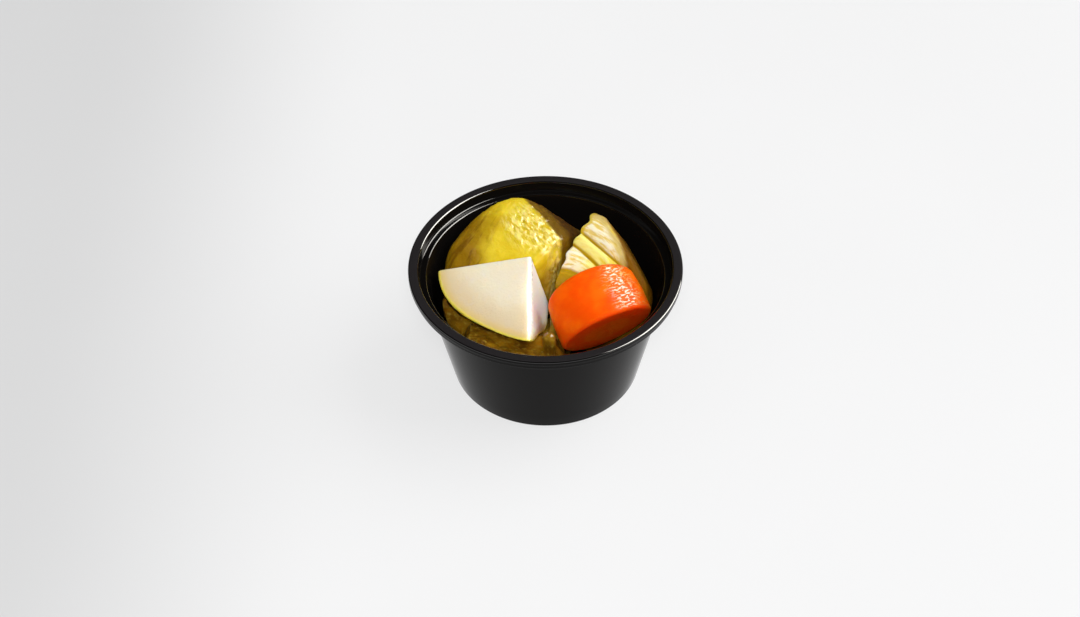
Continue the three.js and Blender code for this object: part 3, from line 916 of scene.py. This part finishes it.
# %% Bundle
BUNDLE_CROWN = (-8, 27, 36.0)
BUNDLE_MIDDLE = (-9, 17, 18)
BUNDLE_SIDES = [
    (-85, 74, *BUNDLE_CROWN),  # top
    (0, 90, 0, 0, 35.4),  # crown
    (152, 45, -26.8, 15.2, 30.9),  # slope to the back left
    (39, 40, 1.3, 25, 35.6),  # slope to the back right
    (195, 30, -28, 12, 30),  # left flank
    (-5, 30, 10.5, 22, 29),  # right flank
    (16, 58, -3.3, 29.4, 34.6),  # slope beyond the ridge
    (-90, -RADISH_TILT[0], RADISH_CORNER[0], RADISH_CORNER[1] + PIECE_GAP, RADISH_CORNER[2]),
    (-38.7, 0, 1.9, 11.7, 0),  # clear of the wedge's left end
]
bundle = chunk("cabbage_bundle_leaf", BUNDLE_MIDDLE, BUNDLE_SIDES, sharpness=16, detail=7)
bundle = run_tree(
    bundle, RELIEF, Lift=0.3, Swell_Depth=1.0, Swell_Size=7.0,
    Fold_Depth=0.28, Fold_Pitch=3.4, Fold_Length=12.0, Fold_Fan_X=-4.0, Fold_Fan_Y=42.0,
    Wrinkle_Depth=0.42, Wrinkle_Pitch=1.25, Wrinkle_Length=3.0, Wrinkle_Fan_X=-20.0, Wrinkle_Fan_Y=43.0,
    Zone_X=0.0, Zone_Y=20.5, Zone_Size=12.0, Calm=0.08, Seed=1.0)

# %% [markdown]
# The bundle is gold, with pale crimps where it is wet, which is a painted sheen. It turns brown and streaky
# at its left end, its own colour with painted shade on that steep side. It is painted dark beyond its
# ridge, and a darker olive low down, both painted shade. All of it follows the place on the piece, blurred
# by noise.

# %% Bundle finish
BUNDLE_GOLD = (0.53, 0.37, 0.008), (0.60, 0.45, 0.02)
# painted sheen on the crimps where the wet glints lie
BUNDLE_CRIMP_SHEEN = (0.86, 0.75, 0.24)
# the left end's own brown, darkened further by painted shade on that steep flank
BUNDLE_LEFT_BROWN_SHADE = (0.185, 0.085, 0.002)
BUNDLE_STREAK = (0.10, 0.04, 0.001)
# painted shade on the steep side beyond the ridge
BUNDLE_BEYOND_SHADE = (0.115, 0.052, 0.001), (0.05, 0.018, 0.001)
# painted shade: darker olive low down in the cup
BUNDLE_LOW_SHADE = (0.25, 0.135, 0.003)


def bundle_finish():
    material, wire, shader, place = new_finish(
        "bundle_leaf", subsurface_weight=0.5, subsurface_scale=1.6 * MM,
        subsurface_radius=(1.0, 0.62, 0.06), specular_ior_level=0.04, coat_roughness=0.08, coat_ior=1.38)
    x, y, z = place.apart()
    cloud = wire.noise(place, 0.14, detail=3)
    speckle = wire.noise(place, 1.0, detail=3)
    drift = (cloud - 0.5) * 9.0
    # left: where the brown and the painted shade of the left flank lie
    left = (x + drift).step(-10.5, -22.0)
    wet = ((x + 2.0).hypot(y - 20.0) + drift * 0.5).step(11.0, 6.5)
    # beyond: how far past the ridge, where painted shade darkens the side
    beyond = (x + 4.8) * 0.81 + (y - 29.4) * 0.59 + drift * 0.25
    # low: darker towards the bottom, painted shade
    low = (z + drift * 0.4).step(26.5, 21.5)

    def drawn_out(from_x, from_y, fineness, length):
        """Noise drawn out along lines that fan out from a place."""
        across, out = fanned(x, y, from_x, from_y)
        lines = wire.together(across * fineness, out / length, z / length)
        return wire.noise(lines, 1.0, detail=3, roughness=0.6)

    streaks = drawn_out(-4.0, 42.0, fineness=0.7, length=11.0)
    crimps = drawn_out(-20.0, 43.0, fineness=1.2, length=3.0)
    # pale: a painted sheen on the wet crimps
    pale = wet * crimps.step(0.4, 0.6) * beyond.step(0.5, -2.0)
    glints = wire.noise(place, 0.8, detail=3, roughness=0.65).step(0.40, 0.5)
    plug(wire, shader,
         base_color=layered(
             cloud.step(0.4, 0.65).mix(*BUNDLE_GOLD),
             (left * 0.88, BUNDLE_LEFT_BROWN_SHADE),
             (streaks.step(0.5, 0.62) * left * 0.7, BUNDLE_STREAK),
             (beyond.step(-1.0, 0.5) * 0.95, BUNDLE_BEYOND_SHADE[0]),
             (beyond.step(2.4, 5.0) * 0.9, BUNDLE_BEYOND_SHADE[1]),
             (low * 0.85, BUNDLE_LOW_SHADE),
             (pale * 0.65, BUNDLE_CRIMP_SHEEN)),
         roughness=0.3 + 0.16 * speckle + 0.4 * beyond.step(-0.5, 2.0),
         coat_weight=wet * beyond.step(1.5, -0.5) * glints,
         height=0.2 * speckle + 0.5 * wet * crimps)
    return material


finish_piece(bundle, "cabbage_bundle", bundle_finish())

# %% [markdown]
# ## The layered wedge
# A wedge cut from the stem end of a cabbage. Its leaves stand in arcs round the bowl, and the knife
# went across them, so the cut shows each leaf as a crest between two grooves. It is lofted: the same
# section is set up at many headings, and a skin is laid over the row.

# %% Wedge shape
WEDGE_APEX = (13.2, 23, 34)
WEDGE_FACING = (-124.2, 48.6)
WEDGE_START = 76
WEDGE_END = -4
WEDGE_SPLAY = 1.0
WEDGE_NOTCH = (2.6, 20.3, 3.0)  # depth in degrees, radius of one leaf's tip, and from tip to tip
WEDGE_INNER = 11.5
WEDGE_OUTER = 27
WEDGE_LEAST = 3
WEDGE_FOOT_INSET = 0.6
WEDGE_STEPS = 110
LEAF_LINES = [(25, 38, 0.0022), (21.5, 54, 0.0024), (18.4, 48, 0.002), (14.2, 48, 0)]
LEAF_THINNEST = 1.3
LEAF_SHOULDER = (3.3, 6.0)
LEAF_SHOULDER_START = (0.15, 0.35)  # share of the shoulder at the leaf's end, and where it is full
LEAF_SHOULDER_TURNS = range(8, 91, 8)
LEAF_GROOVE = 1.7
LEAF_SWELL = 0.6
LEAF_EDGE = 0.3
LEAF_STEPS = 18
SIDE_STEPS = 24
FOOT_STEPS = 6


def wedge_face(x, y):
    nx, ny, nz = facing(*WEDGE_FACING)
    return WEDGE_APEX[2] - (nx * (x - WEDGE_APEX[0]) + ny * (y - WEDGE_APEX[1])) / nz


def leaf_edges(heading):
    edges, limit = [], WEDGE_OUTER
    for least, nearest, opening in LEAF_LINES:
        edges.append(min(least + opening * (heading - nearest) ** 2, limit))
        limit = edges[-1] - LEAF_THINNEST
    return [*edges, WEDGE_INNER]


def wedge_start(radius):
    """The heading of the wedge's left end, which is notched between the leaves."""
    depth, tip, pitch = WEDGE_NOTCH
    notch = depth * sin(pi * (radius - tip) / pitch) ** 2
    return WEDGE_START - WEDGE_SPLAY * (radius - WEDGE_INNER) - notch


def wedge_section(along):
    edges = leaf_edges(WEDGE_START + (WEDGE_END - WEDGE_START) * along)
    foot = FLOOR_HEIGHT + WALL_GAP

    def place(radius, height=None, lower=0.0):
        start = wedge_start(radius)
        turn = radians(start + (WEDGE_END - start) * along)
        x, y = radius * cos(turn), radius * sin(turn)
        if height is None:
            height = max(wedge_face(x, y), FLOOR_HEIGHT + WEDGE_LEAST) - lower
        return x, y, height

    section = []
    for inner, outer in zip(edges[:0:-1], edges[-2::-1]):
        for step in range(LEAF_STEPS):
            across = step / LEAF_STEPS
            lower = LEAF_GROOVE * (1 - sin(pi * across) ** LEAF_SWELL)
            if outer == edges[0] and across > 0.5:
                lower = LEAF_EDGE * (2 * across - 1)
            section.append(place(inner + (outer - inner) * across, lower=lower))
    top = place(edges[0], lower=LEAF_EDGE)
    section.append(top)
    least, full = LEAF_SHOULDER_START
    width = LEAF_SHOULDER[0] * min(1.0, least + (1 - least) * along / full)
    for turn in LEAF_SHOULDER_TURNS:
        height = top[2] - LEAF_SHOULDER[1] * (1 - cos(radians(turn)))
        reach = edges[0] + width * sin(radians(turn))
        section.append(place(min(reach, inner_radius(height) - WALL_GAP), height))
    low_outer = place(inner_radius(foot) - WALL_GAP - WEDGE_FOOT_INSET, foot)
    low_inner = place(WEDGE_INNER, foot)
    return [*section, *line(section[-1], low_outer, SIDE_STEPS),
            low_outer, *line(low_outer, low_inner, FOOT_STEPS),
            low_inner, *line(low_inner, section[0], SIDE_STEPS)]


def wedge_shape():
    sections = [wedge_section(step / WEDGE_STEPS) for step in range(WEDGE_STEPS + 1)]
    count = len(sections[0])
    faces = []
    for i in range(WEDGE_STEPS):
        for j in range(count):
            k = (j + 1) % count
            faces.append((i * count + j, (i + 1) * count + j, (i + 1) * count + k, i * count + k))
    faces.append(tuple(range(count)))
    faces.append(tuple(WEDGE_STEPS * count + j for j in reversed(range(count))))
    points = [point for section in sections for point in section]
    return mend(make_piece("cabbage_wedge_leaves", points, faces))


def carve(piece, tool):
    """Cuts the tool's shape out of the piece, and removes the tool."""
    add_modifier(piece, "BOOLEAN", operation="DIFFERENCE", object=tool, solver="EXACT")
    applied(piece)
    bpy.data.objects.remove(tool)


def split_polygons(piece):
    """Cuts faces with more than four corners into well-shaped triangles, so that none has no area."""
    work = bmesh.new()
    work.from_mesh(piece.data)
    many = [face for face in work.faces if len(face.verts) > 4]
    bmesh.ops.triangulate(work, faces=many, ngon_method="BEAUTY")
    work.to_mesh(piece.data)
    work.free()
    return piece


wedge = split_polygons(wedge_shape())
carve(wedge, lay_carrot(turned("grown_carrot", carrot_profile(PIECE_GAP), sides=64)))
split_polygons(wedge)

# %% [markdown]
# On the cut, each leaf is pale in its middle and darker yellow where it meets the next one, which is
# painted shade in the groove. The outer leaf's back, more so towards the far end, and the wedge deep under
# its cut
# are painted with shade: tan, then olive, then dark. Where a point lies across its leaf can be worked out
# again from its place, after the carrot has been cut out, and the finish reads it as attributes.

# %% Where a point lies in its leaf
LEAF_MEASURES = ("crest", "leaf", "flank", "under", "end")


def leaf_place(x, y, z):
    """How near a crest, which leaf from outside, and how far past the back, the cut and the left end."""
    radius, heading = hypot(x, y), degrees(atan2(y, x))
    start = wedge_start(radius)
    share = (heading - start) / (WEDGE_END - start)
    edges = leaf_edges(WEDGE_START + (WEDGE_END - WEDGE_START) * share)
    number = min(sum(radius < edge for edge in edges), len(edges) - 1)
    outer, inner = edges[max(number - 1, 0)], edges[max(number, 1)]
    across = min(max((radius - inner) / (outer - inner), 0), 1)
    crest = 1 if number == 0 or number == 1 and across > 0.5 else sin(pi * across)
    return (crest, max(number - 1, 0), radius - edges[0], wedge_face(x, y) - z,
            share * radians(start - WEDGE_END) * radius)


for title, values in zip(LEAF_MEASURES, zip(*(leaf_place(*point) for point in points_of(wedge)))):
    store(wedge, title, values)

# %% Wedge finish
WEDGE_PALE = (0.74, 0.57, 0.15), (0.90, 0.86, 0.66)
WEDGE_YELLOW = (0.78, 0.63, 0.06), (0.88, 0.80, 0.26)
# painted shade in the grooves between the leaves
WEDGE_GROOVE_SHADE = (0.46, 0.28, 0.006)
WEDGE_INNERMOST = (0.42, 0.27, 0.01)
WEDGE_TIP = (0.64, 0.44, 0.015)
# painted shade on the outer leaf's back: tan, then olive, then dark
WEDGE_EDGE_SHADE = (0.56, 0.41, 0.05)
WEDGE_BACK_SHADE = (0.19, 0.08, 0.002), (0.09, 0.04, 0.0015)
# painted shade: darker deep under the cut face
WEDGE_UNDER_SHADE = (0.12, 0.055, 0.002)
WEDGE_MEASURED = 22.0  # the radius at which distances along the leaves are true


def wedge_finish():
    material, wire, shader, place = new_finish(
        "wedge_leaf", subsurface_weight=0.5, subsurface_scale=1.6 * MM,
        subsurface_radius=(1.0, 0.7, 0.2), specular_ior_level=0.03, coat_roughness=0.2, coat_ior=1.35)
    crest, leaf, flank, under, end = wire.read(*LEAF_MEASURES)
    x, y, z = place.apart()
    radius = x.hypot(y)
    along = wire.sum("ARCTAN2", y, x) * WEDGE_MEASURED
    streaks = wire.noise(wire.together(radius * 1.1, along * 0.16, z * 0.3), 1.0, detail=4, roughness=0.6)
    fibres = wire.noise(wire.together(radius * 2.4, along * 0.3, z * 0.6), 1.0, detail=3)
    blur = wire.noise(place, 0.2) - 0.5
    pale, yellow = streaks.step(0.36, 0.55).mix(*WEDGE_PALE), streaks.step(0.35, 0.6).mix(*WEDGE_YELLOW)
    # edge: how far into the painted shade of the outer back, growing towards the far end
    edge = flank + blur * 1.8 + end.step(9.0, 26.0) * 3.4
    plug(wire, shader,
         base_color=layered(
             leaf.step(0.2, 0.8).mix(pale, yellow),
             (leaf.step(1.5, 1.9) * end.step(9.0, 3.0), pale),
             # painted shade in the grooves
             (crest.step(0.46, 0.12), WEDGE_GROOVE_SHADE),
             (leaf.step(2.2, 2.8), WEDGE_INNERMOST),
             ((end + blur * 1.5).step(1.5, 0.7) * leaf.step(0.6, 0.3) * 0.85, WEDGE_TIP),
             (edge.step(-1.9, -0.6) * 0.8, WEDGE_EDGE_SHADE),
             (edge.step(-0.6, 0.9), WEDGE_BACK_SHADE[0]),
             ((flank + blur * 2.0).step(0.4, 2.0), WEDGE_BACK_SHADE[1]),
             ((under + blur * 3.0).step(2.2, 6.0), WEDGE_UNDER_SHADE)),
         roughness=0.3 + 0.2 * fibres,
         coat_weight=streaks.step(0.42, 0.6) * edge.step(-1.0, -2.6),
         height=0.45 * streaks + 0.15 * fibres)
    return material


finish_piece(wedge, "cabbage_wedge", wedge_finish())

# %% [markdown]
# ## The lower pieces
# Under the radish and the carrot lie darker pieces of leaf. The CAD pieces already have the hollows
# that their neighbours press into them, so a copy of each is given an even, fine skin and the leaf
# relief is cut into that.

# %% Lower pieces
LOWER_FACE = 0.42


def leaf_over(node, name, **relief):
    piece = bpy.data.objects.new(name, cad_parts[node].data.copy())
    scene.collection.objects.link(piece)
    mend(piece)
    add_modifier(piece, "REMESH", mode="VOXEL", voxel_size=LOWER_FACE * MM)
    add_modifier(piece, "SMOOTH", factor=0.5, iterations=6)
    applied(piece)
    piece.data.shade_smooth()
    return run_tree(piece, RELIEF, **relief)


LOWER_RELIEF = dict(
    Lift=0.3, Swell_Depth=0.9, Swell_Size=5.0, Fold_Depth=0.4, Fold_Pitch=4.0, Fold_Length=10.0,
    Wrinkle_Depth=0.14, Wrinkle_Pitch=1.8, Wrinkle_Length=6.0,
    Zone_X=0.0, Zone_Y=0.0, Zone_Size=60.0, Calm=1.0)
LOWER_FLECK = (0.5, 0.36, 0.05)


def lower_finish(name, light, dark):
    material, wire, shader, place = new_finish(
        name, subsurface_weight=0.4, subsurface_scale=1.5 * MM, subsurface_radius=(1.0, 0.65, 0.1),
        specular_ior_level=0.05, coat_roughness=0.08, coat_ior=1.36)
    cloud = wire.noise(place, 0.2, detail=3).step(0.35, 0.65)
    speckle = wire.noise(place, 0.9, detail=3)
    plug(wire, shader,
         base_color=(speckle.step(0.5, 0.75) * 0.4).mix(cloud.mix(dark, light), LOWER_FLECK),
         roughness=0.24 + 0.2 * speckle,
         coat_weight=wire.noise(place, 0.4, detail=3, roughness=0.6).step(0.48, 0.6),
         height=0.12 * speckle)
    return material


for node, seed, fan, light, dark in (
        ("cabbage_front", 2.0, (-20.0, 10.0), (0.27, 0.14, 0.006), (0.10, 0.043, 0.002)),
        ("cabbage_left", 3.0, (-30.0, 30.0), (0.25, 0.125, 0.006), (0.10, 0.04, 0.002)),
        ("cabbage_middle", 4.0, (12.0, 30.0), (0.24, 0.14, 0.008), (0.09, 0.045, 0.004))):
    piece = leaf_over(node, node + "_leaf", Seed=seed, Fold_Fan_X=fan[0], Fold_Fan_Y=fan[1],
                      Wrinkle_Fan_X=fan[0], Wrinkle_Fan_Y=fan[1], **LOWER_RELIEF)
    finish_piece(piece, node, lower_finish(node + "_leaf", light, dark))
